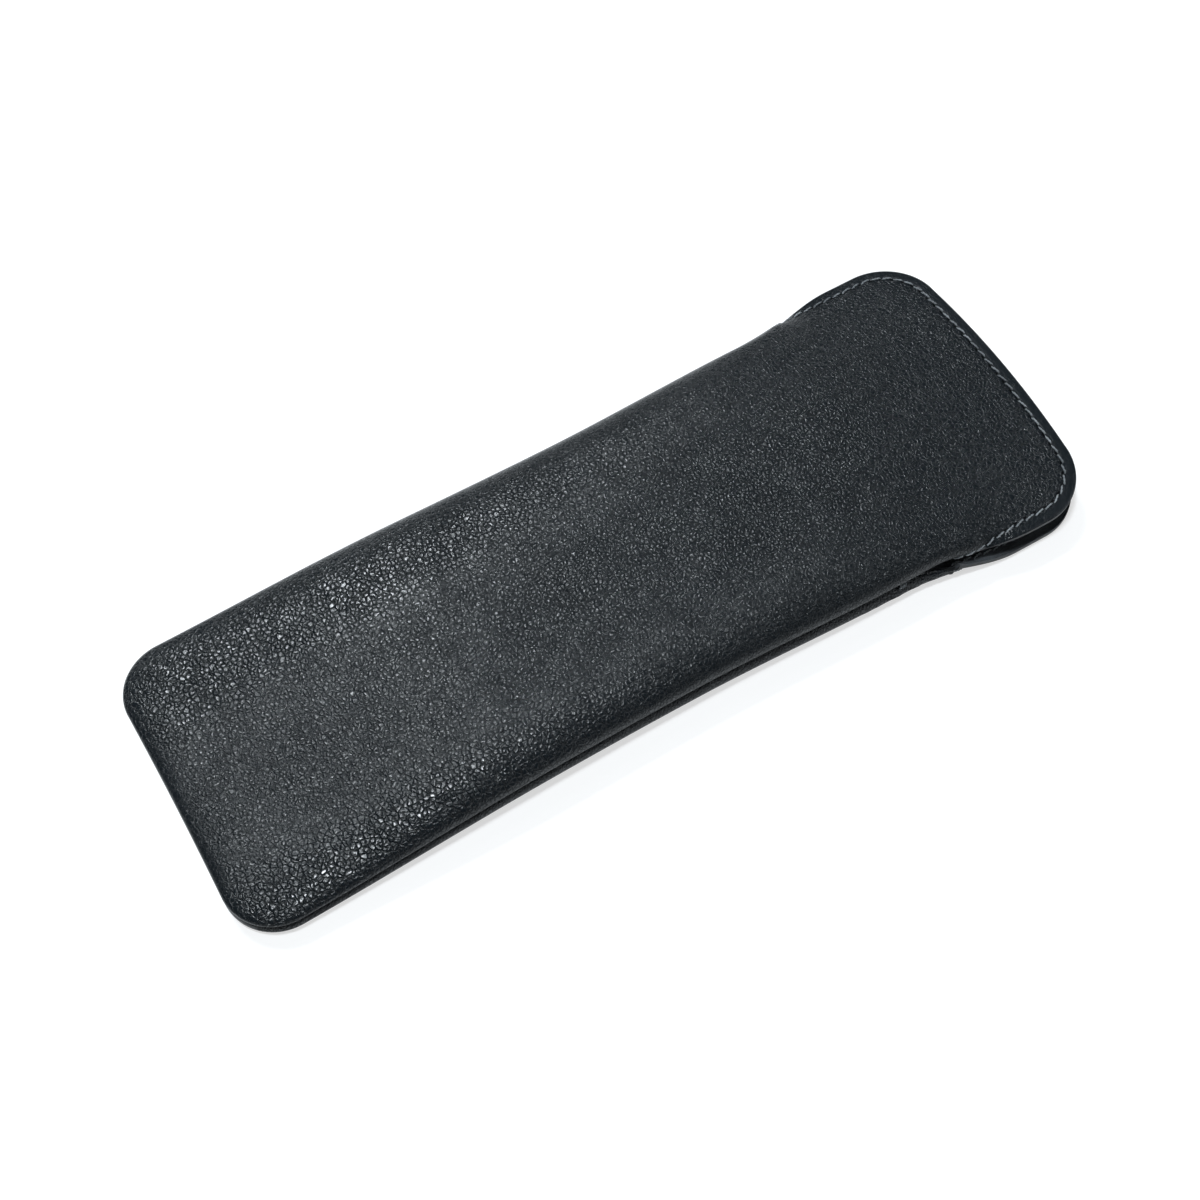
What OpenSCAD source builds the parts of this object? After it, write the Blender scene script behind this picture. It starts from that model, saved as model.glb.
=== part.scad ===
// Single pen sleeve, turned and stitched from soft leather.
// Two equal panels are sewn grain to grain round the closed end and both long sides, then
// turned right side out, so the seam lies in a groove between two rolled shoulders. At the
// mouth the seam stops: the panels flatten, flare and end as two free lips, each lined and
// stitched along its edge. The pen goes in between the lips, along X.
// The origin is under the middle of the sleeve, on the surface it lies on. +X runs to the
// mouth, +Z goes up through the front panel. All sizes are in millimetres.

/* [Sleeve] */
// Overall length from the closed end to the mouth
sleeve_length = 160; // [150:1:172]
// Half width of the body at the closed end
end_half_width = 27.6; // [24:0.2:30]
// Half width of the body at its waist
waist_half_width = 26.2; // [23:0.2:28]
// Half width of the body where the side seams stop
neck_half_width = 27.2; // [24:0.2:29]
// Corner radius of the body at the closed end
end_corner_radius = 9.2; // [8.6:0.2:12]
// Distance from the closed end to the waist
waist_distance = 83; // [70:1:100]
// How far the closed end is drawn in at its middle
end_draw = 0.2; // [0:0.1:1]

/* [Thickness] */
// Height of the sleeve at its closed end
end_thickness = 5.6; // [5.4:0.1:6.4]
// Height of the sleeve along its body
body_thickness = 11.1; // [9.8:0.1:13]
// Height at the middle of the mouth
mouth_thickness = 8.6; // [8.4:0.1:10]
// Distance from the closed end to where the body is at its full height
full_height_distance = 54; // [40:1:64]
// Height of the seam at the closed end
end_seam_height = 2.6; // [2.5:0.05:2.7]
// Height of the seam along the body
body_seam_height = 4.9; // [4.2:0.1:5.2]
// Height of the seam at the neck
neck_seam_height = 4.4; // [3.6:0.1:4.8]
// Width over which each panel rounds over to its flat middle
shoulder_width = 7.8; // [6:0.2:8.4]
// How much lower the front panel is at its sides than at its middle, as a share
front_crown = 0.28; // [0.1:0.02:0.34]
// The same for the back panel, which lies nearly flat
back_crown = 0.04; // [0.02:0.01:0.1]
// Depth by which the back panel is pressed flat where the sleeve lies on it
rest_depth = 0.12; // [0.05:0.01:0.2]

/* [Seam] */
// Radius of the roll beside the seam at the closed end
end_roll_radius = 1.2; // [1.1:0.05:1.4]
// Radius of the roll beside the seam at the neck
neck_roll_radius = 2; // [1.4:0.05:2.3]
// Width of the seam allowance turned inside
seam_allowance = 2.2; // [1.6:0.1:3]
// Clearance between the two panels where their grain faces meet in the seam
seam_clearance = 0.04; // [0.02:0.01:0.1]

/* [Lips] */
// Distance from the mouth back to the ends of the side seams
lip_length = 38; // [32:1:42]
// Half width of the lips
lip_half_width = 30; // [29:0.2:33]
// Corner radius of the lips
lip_corner_radius = 10.4; // [9:0.2:14]
// Length over which the lips flare and part beyond the neck
flare_length = 21; // [14:1:24]
// Distance before the neck at which the middle of the panels starts to flatten
flatten_lead = 14; // [8:1:24]
// Height of the front lip at its sides
lip_edge_height = 6.4; // [5.6:0.1:6.8]
// How far the middle of the mouth edge stands out beyond its ends
mouth_bow = 0.6; // [0:0.1:1.2]

/* [Layers] */
// Thickness of the leather
leather_thickness = 0.9; // [0.75:0.05:1]
// Thickness to which the leather is thinned at its cut edge
skived_thickness = 0.5; // [0.4:0.05:0.7]
// Thickness of the lining cloth
lining_thickness = 0.35; // [0.25:0.05:0.4]
// Thickness of the soft padding between leather and lining
padding_thickness = 1.1; // [0.8:0.1:1.3]
// Thickness of the padding at its thinned border
padding_edge = 0.45; // [0.3:0.05:0.6]

/* [Stitching] */
// Distance of the lip stitching from the edge
stitch_margin = 2.1; // [1.7:0.1:3]
// Length from one stitch hole to the next
stitch_pitch = 2; // [1.6:0.1:3]
// Gap between one stitch and the next, where the thread goes down
stitch_gap = 0.35; // [0.2:0.05:0.5]
// Thickness of the thread
thread_thickness = 0.45; // [0.35:0.05:0.55]
// Clearance between the thread and what it lies on
thread_clearance = 0.05; // [0.02:0.01:0.1]
// Number of turns of thread in a bar tack
tack_turns = 3; // [2:1:6]

/* [Hidden] */

// The sheets follow one net of rows, from the closed end to the mouth, and columns, from the
// right side to the left. Rings count inward from the edge: 0 is the end of the allowance,
// 1 the seam or the lip's edge, 3 the widest line of the roll, and the last is the flat middle.
ring_count = 7;
widest_ring = 3;
lip_stitch_ring = 2;
// Rows beyond the neck before the stitches of the lips begin
open_rows = 2;
centre_steps = 6;
body_steps = 9;
neck_steps = 5;
neck_row = ring_count + body_steps;
last_col = 2 * ring_count + centre_steps;
last_row = neck_row + neck_steps + ring_count - 1;
padding_ring = 5;
padding_rows = [ring_count + 1, neck_row - 1];
// Power of the curve that rounds the shoulders over
shoulder_power = 2.2;
// Angle round the rolls at which a bar tack's thread goes into the leather
tack_turn = 50;

neck_distance = sleeve_length - lip_length;
lip_corner_distance = sleeve_length - mouth_bow - lip_corner_radius;
// Height of a thread's middle above the face it lies on
thread_rise = thread_thickness / 2 + thread_clearance;
// The back lip is carried clear of its own stitches
back_lip_height = 2 * thread_rise;

// Plain helpers
function ease(t) = let (c = min(max(t, 0), 1)) c * c * (3 - 2 * c);
function mix(a, b, t) = a + (b - a) * t;
// A point kept to a thousandth of a millimetre
function kept(p) = [for (c = p) round(c * 1000) / 1000];
function unit(v) = v / norm(v);

// Slope of a smooth curve at one of its stations, level at both ends and at each turn
function station_slope(st, i) =
    i == 0 || i == len(st) - 1 ? 0 :
    let (
        before = (st[i][1] - st[i - 1][1]) / (st[i][0] - st[i - 1][0]),
        after = (st[i + 1][1] - st[i][1]) / (st[i + 1][0] - st[i][0])
    )
    before * after <= 0 ? 0 : 2 * before * after / (before + after);

// Value at x of the smooth curve through stations [distance, value]
function through(st, x) =
    let (
        n = len(st),
        c = min(max(x, st[0][0]), st[n - 1][0]),
        i = max([for (k = [0:n - 2]) st[k][0] <= c ? k : 0]),
        h = st[i + 1][0] - st[i][0],
        t = (c - st[i][0]) / h,
        a = station_slope(st, i) * h,
        b = station_slope(st, i + 1) * h
    )
    mix(st[i][1], st[i + 1][1], ease(t)) + a * t * pow(1 - t, 2) - b * t * t * (1 - t);

// The sleeve's measures at a distance x from the closed end
function half_width(x) = through([
    [0, end_half_width], [waist_distance, waist_half_width], [neck_distance, neck_half_width]
], x);
function thickness(x) = through([
    [0, end_thickness], [full_height_distance, body_thickness],
    [neck_distance, body_thickness], [sleeve_length, mouth_thickness]
], x);
function seam_height(x) = through([
    [0, end_seam_height], [full_height_distance, body_seam_height],
    [neck_distance, neck_seam_height]
], x);
function roll_radius(x) = through([[0, end_roll_radius], [neck_distance, neck_roll_radius]], x);
function flare(x) = ease((x - neck_distance) / flare_length);

// Where a point of the net lies in plan
function side_ring(j) = min(j, last_col - j);
function mouth_ring(i) = last_row - i + 1;
function side_sign(j) = j < last_col / 2 ? -1 : 1;
function centre_share(j) =
    1 - max(side_ring(j) - ring_count, 0) / (centre_steps / 2);

// Distance of a ring inside the body's widest outline
function body_inset(k, r) =
    k == 0 ? r + seam_allowance :
    k <= widest_ring ? r * (1 - sin(90 * (k - 1) / (widest_ring - 1))) :
    let (turn = 90 * (k - widest_ring) / (ring_count - widest_ring))
    end_corner_radius * (1 - pow(cos(turn), 2 / shoulder_power));

// Distance of a ring inside the lip's edge
function lip_inset(k) =
    k <= 1 ? 0 :
    mix(stitch_margin, lip_corner_radius, (k - lip_stitch_ring) / (ring_count - lip_stitch_ring));

// Turn round a corner from the side towards the end, for rings counted from each
function corner_turn(from_end, from_side) =
    let (k = min(from_end, from_side))
    from_end == from_side ? 45 :
    from_end < from_side ? 45 + 45 * (from_side - k) / (ring_count - k) :
    45 - 45 * (from_end - k) / (ring_count - k);

function row_distance(i) =
    i <= neck_row ? mix(end_corner_radius, neck_distance, (i - ring_count) / body_steps) :
    mix(neck_distance, lip_corner_distance, pow(min((i - neck_row) / neck_steps, 1), 1.2));

function closed_corner(i, j) =
    let (
        k = min(i, side_ring(j)),
        arc = end_corner_radius - body_inset(k, end_roll_radius),
        turn = corner_turn(i, side_ring(j)),
        x = end_corner_radius - arc * sin(turn)
    )
    [x, half_width(x) - end_corner_radius + arc * cos(turn)];

function body_plan(i, j) =
    let (k = side_ring(j), x = row_distance(i))
    i < ring_count && k < ring_count ? closed_corner(i, j) :
    i < ring_count ? [
        body_inset(i, end_roll_radius),
        (half_width(0) - end_corner_radius) * centre_share(j)
    ] :
    k < ring_count ? [x, half_width(x) - body_inset(k, roll_radius(x))] :
    [x, (half_width(x) - end_corner_radius) * centre_share(j)];

function mouth_corner(i, j) =
    let (
        k = min(mouth_ring(i), side_ring(j)),
        arc = lip_corner_radius - lip_inset(k),
        turn = corner_turn(mouth_ring(i), side_ring(j))
    )
    [
        lip_corner_distance + arc * sin(turn),
        lip_half_width - lip_corner_radius + arc * cos(turn)
    ];

function lip_plan(i, j) =
    let (k = side_ring(j), m = mouth_ring(i), x = row_distance(i))
    m < ring_count && k < ring_count ? mouth_corner(i, j) :
    m < ring_count ? [
        sleeve_length - mouth_bow - lip_inset(m),
        (lip_half_width - lip_corner_radius) * centre_share(j)
    ] :
    k < ring_count ? [x, lip_half_width - lip_inset(k)] :
    [x, (lip_half_width - lip_corner_radius) * centre_share(j)];

// Share of the lip's form in a row, none in the body and all at the mouth
function lip_share(i) = mouth_ring(i) <= ring_count ? 1 : i <= neck_row ? 0 : flare(row_distance(i));

// Height of the grain faces
// Rise of a ring above the seam while the leather rolls out of the groove
function roll_rise(k, r) =
    k >= widest_ring ? r : k <= 1 ? 0 : r * (1 - cos(90 * (k - 1) / (widest_ring - 1)));

// Share of the full height that the shoulder has reached
function shoulder(k, r) =
    k <= widest_ring ? 0 :
    let (d = min(body_inset(k, r) / shoulder_width, 1))
    pow(1 - pow(1 - d, shoulder_power), 1 / shoulder_power);

function body_ring(i, j) = min(i, side_ring(j), ring_count);

function front_body_height(i, j, p) =
    let (
        k = body_ring(i, j), r = roll_radius(p.x), s = seam_height(p.x) + seam_clearance / 2,
        crown = 1 - front_crown * pow(p.y / half_width(p.x), 2)
    )
    s + roll_rise(k, r) + (thickness(p.x) - s - r) * shoulder(k, r) * crown;

function back_body_height(i, j, p) =
    let (
        k = body_ring(i, j), r = roll_radius(p.x), s = seam_height(p.x) - seam_clearance / 2,
        crown = 1 - back_crown * pow(p.y / half_width(p.x), 2)
    )
    max(0, s - roll_rise(k, r) - (s - r + rest_depth) * shoulder(k, r) * crown);

function front_lip_height(p) =
    mix(thickness(p.x), lip_edge_height, pow(min(p.y / lip_half_width, 1), 2));

// The two grain faces, as nets of points
function bowed(p, i) =
    let (
        end_share = 1 - ease(p.x / waist_distance),
        flat_half = half_width(0) - end_corner_radius,
        end_arch = 1 - pow(min(p.y / flat_half, 1), 2),
        lip_flat = lip_half_width - lip_corner_radius,
        mouth_arch = 1 - pow(min(p.y / lip_flat, 1), 2)
    )
    p.x + end_draw * end_arch * end_share + mouth_bow * mouth_arch * lip_share(i);

// Share of the lip's form in a point's height: quick at the edge, gentle over the middle
function height_share(i, j) =
    let (
        x = row_distance(i),
        inner = min(max((side_ring(j) - widest_ring) / (padding_ring - widest_ring), 0), 1),
        slow = ease((x - neck_distance + flatten_lead) / (flatten_lead + flare_length))
    )
    i < ring_count ? 0 : mix(lip_share(i), slow, inner);

// How far the edge moves out while its roll opens into the flat lip, so that the outline of
// the panel keeps its width there
function opened(k, r, w) =
    let (
        least = min([for (n = [1:widest_ring]) mix(body_inset(n, r), lip_inset(n), w)]),
        fade = min(max((k - widest_ring) / (ring_count - widest_ring), 0), 1)
    )
    least * (1 - fade);

function face_point(i, j, front) =
    let (
        w = lip_share(i),
        h = height_share(i, j),
        b = body_plan(min(i, neck_row + neck_steps), j),
        l = i > neck_row ? lip_plan(i, j) : b,
        p = mix(b, l, w) + [0, opened(side_ring(j), roll_radius(b.x), w)],
        body_z = front ? front_body_height(i, j, b) : back_body_height(i, j, b),
        lip_z = front ? front_lip_height(l) : back_lip_height
    )
    kept([bowed(p, i) - sleeve_length / 2, side_sign(j) * p.y, mix(body_z, lip_z, h)]);

front_face = [for (i = [0:last_row]) [for (j = [0:last_col]) face_point(i, j, true)]];
back_face = [for (i = [0:last_row]) [for (j = [0:last_col]) face_point(i, j, false)]];

// Direction out of the grain face at a point of the net. The allowance lies grain to grain.
function edge_ring(i, j) = min(side_ring(j), i, mouth_ring(i));
function out_of(face, i, j, up) =
    edge_ring(i, j) == 0 ? [0, 0, -up] :
    let (
        low = i > neck_row ? 1 : 0,
        along = face[min(i + 1, last_row)][j] - face[max(i - 1, 0)][j],
        j0 = max(j - 1, low),
        j1 = min(j + 1, last_col - low),
        across = face[i][j1] - face[i][j0]
    )
    up * unit(cross(along, across));

// The net moved inward by a depth that depends on the place
function layer(face, up, depths) = [
    for (i = [0:last_row]) [
        for (j = [0:last_col]) kept(face[i][j] - depths[i][j] * out_of(face, i, j, up))
    ]
];

// Depths of the layers under the grain face
function leather_depth(i, j) =
    mix(skived_thickness, leather_thickness, min(edge_ring(i, j) / widest_ring, 1));
function padded(i, j) =
    i >= padding_rows[0] && i <= padding_rows[1] && side_ring(j) >= padding_ring;
function padding_depth(i, j) =
    !padded(i, j) ? 0 :
    i == padding_rows[0] || i == padding_rows[1] || side_ring(j) == padding_ring ? padding_edge :
    padding_thickness;

leather_depths = [for (i = [0:last_row]) [for (j = [0:last_col]) leather_depth(i, j)]];
padding_depths = [for (i = [0:last_row]) [for (j = [0:last_col])
    leather_depth(i, j) + padding_depth(i, j)]];
lining_depths = [for (i = [0:last_row]) [for (j = [0:last_col])
    leather_depth(i, j) + padding_depth(i, j) + lining_thickness]];
top_thread_depths = [for (row = lining_depths) [for (depth = row) -thread_rise]];
bobbin_depths = [for (row = lining_depths) [for (depth = row) depth + thread_rise]];

// Which cells of the net each layer covers
function cell_ring(j) = min(j, last_col - 1 - j);
function in_net(i, j) = i >= 0 && j >= 0 && i < last_row && j < last_col;
function covers(kind, i, j) =
    in_net(i, j) && (
        kind == "leather" ? cell_ring(j) >= 1 || i < neck_row :
        kind == "lining" ? i > widest_ring && cell_ring(j) >= (i > neck_row ? 1 : widest_ring + 1) :
        i >= padding_rows[0] && i < padding_rows[1] && cell_ring(j) >= padding_ring
    );

// A closed sheet between two nets: both faces of each covered cell, and a wall along each
// side of a cell that has no covered neighbour
module sheet(outer, inner, kind, up) {
    wide = last_col + 1;
    count = (last_row + 1) * wide;
    points = concat([for (row = outer) each row], [for (row = inner) each row]);
    cells = [for (i = [0:last_row - 1]) for (j = [0:last_col - 1]) if (covers(kind, i, j)) [i, j]];
    corners = function (c, n) [
        n + c[0] * wide + c[1], n + (c[0] + 1) * wide + c[1],
        n + (c[0] + 1) * wide + c[1] + 1, n + c[0] * wide + c[1] + 1
    ];
    sides = [[0, 1, 0, -1], [1, 2, 1, 0], [2, 3, 0, 1], [3, 0, -1, 0]];
    tops = [for (c = cells) let (q = corners(c, 0)) each [[q[0], q[2], q[1]], [q[0], q[3], q[2]]]];
    bottoms = [for (c = cells) let (q = corners(c, count)) each [[q[0], q[1], q[2]], [q[0], q[2], q[3]]]];
    walls = [
        for (c = cells) for (s = sides) if (!covers(kind, c[0] + s[2], c[1] + s[3]))
            let (o = corners(c, 0), n = corners(c, count))
            each [[o[s[0]], o[s[1]], n[s[1]]], [o[s[0]], n[s[1]], n[s[0]]]]
    ];
    faces = concat(tops, bottoms, walls);
    polyhedron(points, up > 0 ? faces : [for (f = faces) [f[2], f[1], f[0]]]);
}

// Stitching
function path_lengths(path) =
    [for (i = 0, sum = 0; i < len(path);
        sum = sum + (i < len(path) - 1 ? norm(path[i + 1] - path[i]) : 0), i = i + 1) sum];

// Point at a distance s along a path
function along_path(path, lengths, s) =
    let (
        i = max([for (k = [0:len(path) - 2]) lengths[k] <= s ? k : 0]),
        t = (s - lengths[i]) / (lengths[i + 1] - lengths[i])
    )
    mix(path[i], path[i + 1], t);

// The line of the stitches round the lips, from the right neck to the left: it follows one
// ring of a net from the row where the roll has opened
function lip_line(net) =
    let (ring = lip_stitch_ring, first = neck_row + open_rows, last = last_row - ring + 1)
    concat(
        [for (i = [first:last]) net[i][ring]],
        [for (j = [ring + 1:last_col - ring - 1]) net[last][j]],
        [for (i = [last:-1:first]) net[i][last_col - ring]]
    );

// The line on the allowance's flesh side, half way between the seam and the cut edge, where
// the thread lies clear of the leather
function allowance_point(net, i, j, k, up) =
    let (near = k[0], far = k[1])
    (net[i][j] + net[near][far]) / 2 + [0, 0, up * thread_rise];
function seam_line(net, up) = concat(
    [for (i = [neck_row:-1:1]) allowance_point(net, i, 1, [i, 0], up)],
    [for (j = [2:last_col - 2]) allowance_point(net, 1, j, [0, j], up)],
    [for (i = [1:neck_row]) allowance_point(net, i, last_col - 1, [i, last_col], up)]
);

// One stitch: a straight piece of thread from hole to hole
module stitch(a, b, sides) {
    run = b - a;
    trim = stitch_gap / 2 * unit(run);
    translate(a + trim)
        rotate([0, acos(run.z / norm(run)), atan2(run.y, run.x)])
        cylinder(h = norm(run) - stitch_gap, d = thread_thickness, $fn = sides);
}

// Stitches at a steady pitch along a line
module stitch_row(line, sides) {
    lengths = path_lengths(line);
    total = lengths[len(line) - 1];
    count = floor(total / stitch_pitch);
    for (n = [0:count - 1])
        stitch(
            along_path(line, lengths, n * total / count),
            along_path(line, lengths, min((n + 1) * total / count, total - 0.001)),
            sides
        );
}

// The pieces
front_flesh = layer(front_face, 1, leather_depths);
back_flesh = layer(back_face, -1, leather_depths);
front_pad_face = layer(front_face, 1, padding_depths);
back_pad_face = layer(back_face, -1, padding_depths);
front_inside = layer(front_face, 1, lining_depths);
back_inside = layer(back_face, -1, lining_depths);

module front_panel() {
    color("#24262b") sheet(front_face, front_flesh, "leather", 1);
}

module back_panel() {
    color("#1c1e22") sheet(back_face, back_flesh, "leather", -1);
}

module front_padding() {
    color("#8d8f92") sheet(front_flesh, front_pad_face, "padding", 1);
}

module back_padding() {
    color("#8d8f92") sheet(back_flesh, back_pad_face, "padding", -1);
}

module front_lining() {
    color("#3a3a3e") sheet(front_pad_face, front_inside, "lining", 1);
}

module back_lining() {
    color("#3a3a3e") sheet(back_pad_face, back_inside, "lining", -1);
}

module front_lip_top_thread() {
    color("#9a9da3") stitch_row(lip_line(layer(front_face, 1, top_thread_depths)), 6);
}

module front_lip_bobbin_thread() {
    color("#9a9da3") stitch_row(lip_line(layer(front_face, 1, bobbin_depths)), 4);
}

module back_lip_top_thread() {
    color("#9a9da3") stitch_row(lip_line(layer(back_face, -1, top_thread_depths)), 6);
}

module back_lip_bobbin_thread() {
    color("#9a9da3") stitch_row(lip_line(layer(back_face, -1, bobbin_depths)), 4);
}

// The side seam's stitches, on the flesh side of the turned-in allowance: straight pieces
// from the right neck round the closed end to the left neck
module seam_thread(flesh, up) {
    path = seam_line(flesh, up);
    for (n = [0:len(path) - 2]) stitch(path[n], path[n + 1], 6);
}

module seam_top_thread() {
    color("#9a9da3") seam_thread(front_flesh, 1);
}

module seam_bobbin_thread() {
    color("#9a9da3") seam_thread(back_flesh, -1);
}

// Turns of thread side by side across the groove at the end of a side seam, down between the
// two rolls
module bar_tack(side) {
    roll = roll_radius(neck_distance);
    width = half_width(neck_distance) - roll * (1 - sin(tack_turn)) + thread_rise;
    reach = roll * (1 - cos(tack_turn));
    for (n = [0:tack_turns - 1])
        translate([
            neck_distance - sleeve_length / 2 - (n + 0.5) * (thread_thickness + thread_clearance),
            side * width, seam_height(neck_distance) - reach
        ])
        cylinder(h = 2 * reach, d = thread_thickness, $fn = 8);
}

module left_bar_tack() {
    color("#9a9da3") bar_tack(1);
}

module right_bar_tack() {
    color("#9a9da3") bar_tack(-1);
}

front_panel();
back_panel();
front_padding();
back_padding();
front_lining();
back_lining();
front_lip_top_thread();
front_lip_bobbin_thread();
back_lip_top_thread();
back_lip_bobbin_thread();
seam_top_thread();
seam_bobbin_thread();
left_bar_tack();
right_bar_tack();
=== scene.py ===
# %% [markdown]
# # A turned and stitched leather sleeve for one pen
# The real sleeve is two leather panels sewn grain to grain and turned right side out, over
# thin padding and a lining cloth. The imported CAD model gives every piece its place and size.
# This script keeps those places and gives each piece the shape and finish of the real one.

# %% Load the fixed frame
import math

import bpy
import numpy as np
from mathutils import Matrix, Vector


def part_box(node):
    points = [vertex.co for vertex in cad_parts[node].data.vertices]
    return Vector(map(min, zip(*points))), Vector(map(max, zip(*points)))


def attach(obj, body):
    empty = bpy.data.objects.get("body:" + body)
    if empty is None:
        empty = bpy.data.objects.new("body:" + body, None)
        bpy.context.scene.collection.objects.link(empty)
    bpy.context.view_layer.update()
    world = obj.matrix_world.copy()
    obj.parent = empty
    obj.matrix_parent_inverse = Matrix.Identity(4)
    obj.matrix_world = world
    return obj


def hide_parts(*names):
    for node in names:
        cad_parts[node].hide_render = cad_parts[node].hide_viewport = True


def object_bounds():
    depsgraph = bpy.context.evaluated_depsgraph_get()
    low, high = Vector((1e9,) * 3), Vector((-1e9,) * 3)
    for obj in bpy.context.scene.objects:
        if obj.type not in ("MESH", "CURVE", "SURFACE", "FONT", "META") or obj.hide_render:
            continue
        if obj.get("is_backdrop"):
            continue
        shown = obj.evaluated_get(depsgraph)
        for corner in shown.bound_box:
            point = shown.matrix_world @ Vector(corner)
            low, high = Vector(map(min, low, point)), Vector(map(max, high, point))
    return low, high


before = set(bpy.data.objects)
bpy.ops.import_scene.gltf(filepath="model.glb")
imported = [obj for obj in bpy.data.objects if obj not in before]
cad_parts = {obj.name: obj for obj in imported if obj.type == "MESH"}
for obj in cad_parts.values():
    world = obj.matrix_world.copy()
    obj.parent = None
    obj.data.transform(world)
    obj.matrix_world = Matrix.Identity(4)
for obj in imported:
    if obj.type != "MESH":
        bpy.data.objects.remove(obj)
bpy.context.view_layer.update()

MM = 0.001

# %% [markdown]
# ## Camera
# A product photographer stands at a small angle to the object and uses a long lens. The
# camera is placed by four plain facts: where it looks, how high it stands, how far it is
# turned, and how far away it is. A little roll lines the object up as in the picture.

# %% Place the camera
LOOK_AT = Vector((-2.18, -0.963, 0)) * MM
ELEVATION, TURN, ROLL = math.radians(61.02), math.radians(27.288), math.radians(-3.333)
DISTANCE = 330.557 * MM
SENSOR_MM, LENS_MM = 36, 58.53528

level = Vector((math.sin(TURN), math.cos(TURN), 0))
right = Vector((math.cos(TURN), -math.sin(TURN), 0))
forward = level * math.cos(ELEVATION) - Vector((0, 0, 1)) * math.sin(ELEVATION)
up = level * math.sin(ELEVATION) + Vector((0, 0, 1)) * math.cos(ELEVATION)
rolled_right = right * math.cos(ROLL) + up * math.sin(ROLL)
rolled_up = up * math.cos(ROLL) - right * math.sin(ROLL)

camera_data = bpy.data.cameras.new("camera")
camera_data.sensor_width = SENSOR_MM
camera_data.lens = LENS_MM
camera_data.clip_start = 0.01
camera = bpy.data.objects.new("camera", camera_data)
stand = Matrix((rolled_right, rolled_up, -forward)).transposed().to_4x4()
stand.translation = LOOK_AT - forward * DISTANCE
camera.matrix_world = stand
bpy.context.scene.collection.objects.link(camera)
bpy.context.scene.camera = camera
print("camera at mm:", [round(v / MM, 1) for v in camera.location])

# %% [markdown]
# ## Sizes
# These are the sizes of the real sleeve in millimetres, the same as in the CAD model. A
# cutter would read the first ones off the pattern, and the others off the stack of layers.

# %% Sizes in millimetres
LENGTH = 160.0
# Half widths of the body at its closed end, waist and neck, and where the waist is
END_HALF, WAIST_HALF, NECK_HALF, WAIST_AT = 27.6, 26.2, 27.2, 83.0
# Radius of the closed end's corners, and how far the middle of that end is drawn in
CORNER, END_DRAW = 9.2, 0.2
# Thickness at the closed end, over the full body and at the mouth, and where it is full
END_THICK, BODY_THICK, MOUTH_THICK, FULL_AT = 5.6, 11.1, 8.6, 54.0
# Height of the seam above the table, at the closed end, over the body and at the neck
SEAM_END, SEAM_BODY, SEAM_NECK = 2.6, 4.9, 4.4
# Width and power of the rounded shoulder, the crown of each face, and how flat the back rests
SHOULDER, SHOULDER_POWER = 7.8, 2.2
FRONT_CROWN, BACK_CROWN, REST_DEPTH = 0.28, 0.04, 0.12
# Radius of the roll beside the seam, width of the seam allowance, and gap between the panels
ROLL_END, ROLL_NECK, ALLOWANCE, SEAM_GAP = 1.2, 2.0, 2.2, 0.04
LIP_LENGTH, LIP_HALF, LIP_CORNER = 38.0, 30.0, 10.4
# Length of the flare beyond the neck, and how far before the neck the top starts to flatten
FLARE_LENGTH, FLATTEN_LEAD = 21.0, 14.0
# Height of the front lip at its sides and of the back lip, and the bow of the mouth's edge
LIP_EDGE_HEIGHT, BACK_LIP_HEIGHT, MOUTH_BOW = 6.4, 0.55, 0.6
# The front lip's right side stays shut this much further beyond the neck
RIGHT_STAYS_SHUT = 5.0
LEATHER, SKIVED, LINING = 0.9, 0.5, 0.35
PADDING, PADDING_EDGE = 1.1, 0.45
# Distance of the stitches from the lip's edge, and length of a stitch there and in the seam
STITCH_MARGIN, STITCH_PITCH, SEAM_PITCH = 2.1, 2.0, 2.5
NECK = LENGTH - LIP_LENGTH
LIP_CORNER_AT = LENGTH - MOUTH_BOW - LIP_CORNER
print("the lips start", NECK, "mm from the closed end")

# %% [markdown]
# ## The shape of a panel
# A panel can be sculpted, simulated or worked out. Here it is worked out, because a turned
# seam follows simple rules: the leather leaves the seam, rolls over in a quarter circle, and
# then rounds its shoulder. The panel is a net of rows, from the closed end to the mouth, and
# columns, from the right side to the left. Rings count inwards from the edge: 0 is the end of
# the seam allowance, 1 the seam or the lip's edge, 3 the widest line and 7 the flat middle.

# %% Curves through stations
def ease(t):
    """A soft step: 0 up to 0, 1 from 1 on, and level at both ends."""
    t = np.clip(t, 0, 1)
    return t * t * (3 - 2 * t)


def mix(a, b, t):
    """A blend of a and b, where t is the share of b."""
    return a + (b - a) * t


def through(stations, x):
    """A smooth curve through (distance, value) stations, level at its ends and turns."""
    at, value = np.array(stations, float).T
    rise = np.diff(value) / np.diff(at)
    slope = np.zeros(len(at))
    for n in range(1, len(at) - 1):
        before, after = rise[n - 1], rise[n]
        slope[n] = 2 * before * after / (before + after) if before * after > 0 else 0
    x = np.clip(x, at[0], at[-1])
    n = np.clip(np.searchsorted(at, x, side="right") - 1, 0, len(at) - 2)
    width = at[n + 1] - at[n]
    t = (x - at[n]) / width
    curve = mix(value[n], value[n + 1], ease(t))
    return curve + slope[n] * width * t * (1 - t) ** 2 - slope[n + 1] * width * t * t * (1 - t)


def half_width(x):
    """Half the width of the body, at a distance from the closed end."""
    return through([(0, END_HALF), (WAIST_AT, WAIST_HALF), (NECK, NECK_HALF)], x)


def thickness(x):
    return through([(0, END_THICK), (FULL_AT, BODY_THICK), (NECK, BODY_THICK),
                    (LENGTH, MOUTH_THICK)], x)


def seam_height(x):
    return through([(0, SEAM_END), (FULL_AT, SEAM_BODY), (NECK, SEAM_NECK)], x)


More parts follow.
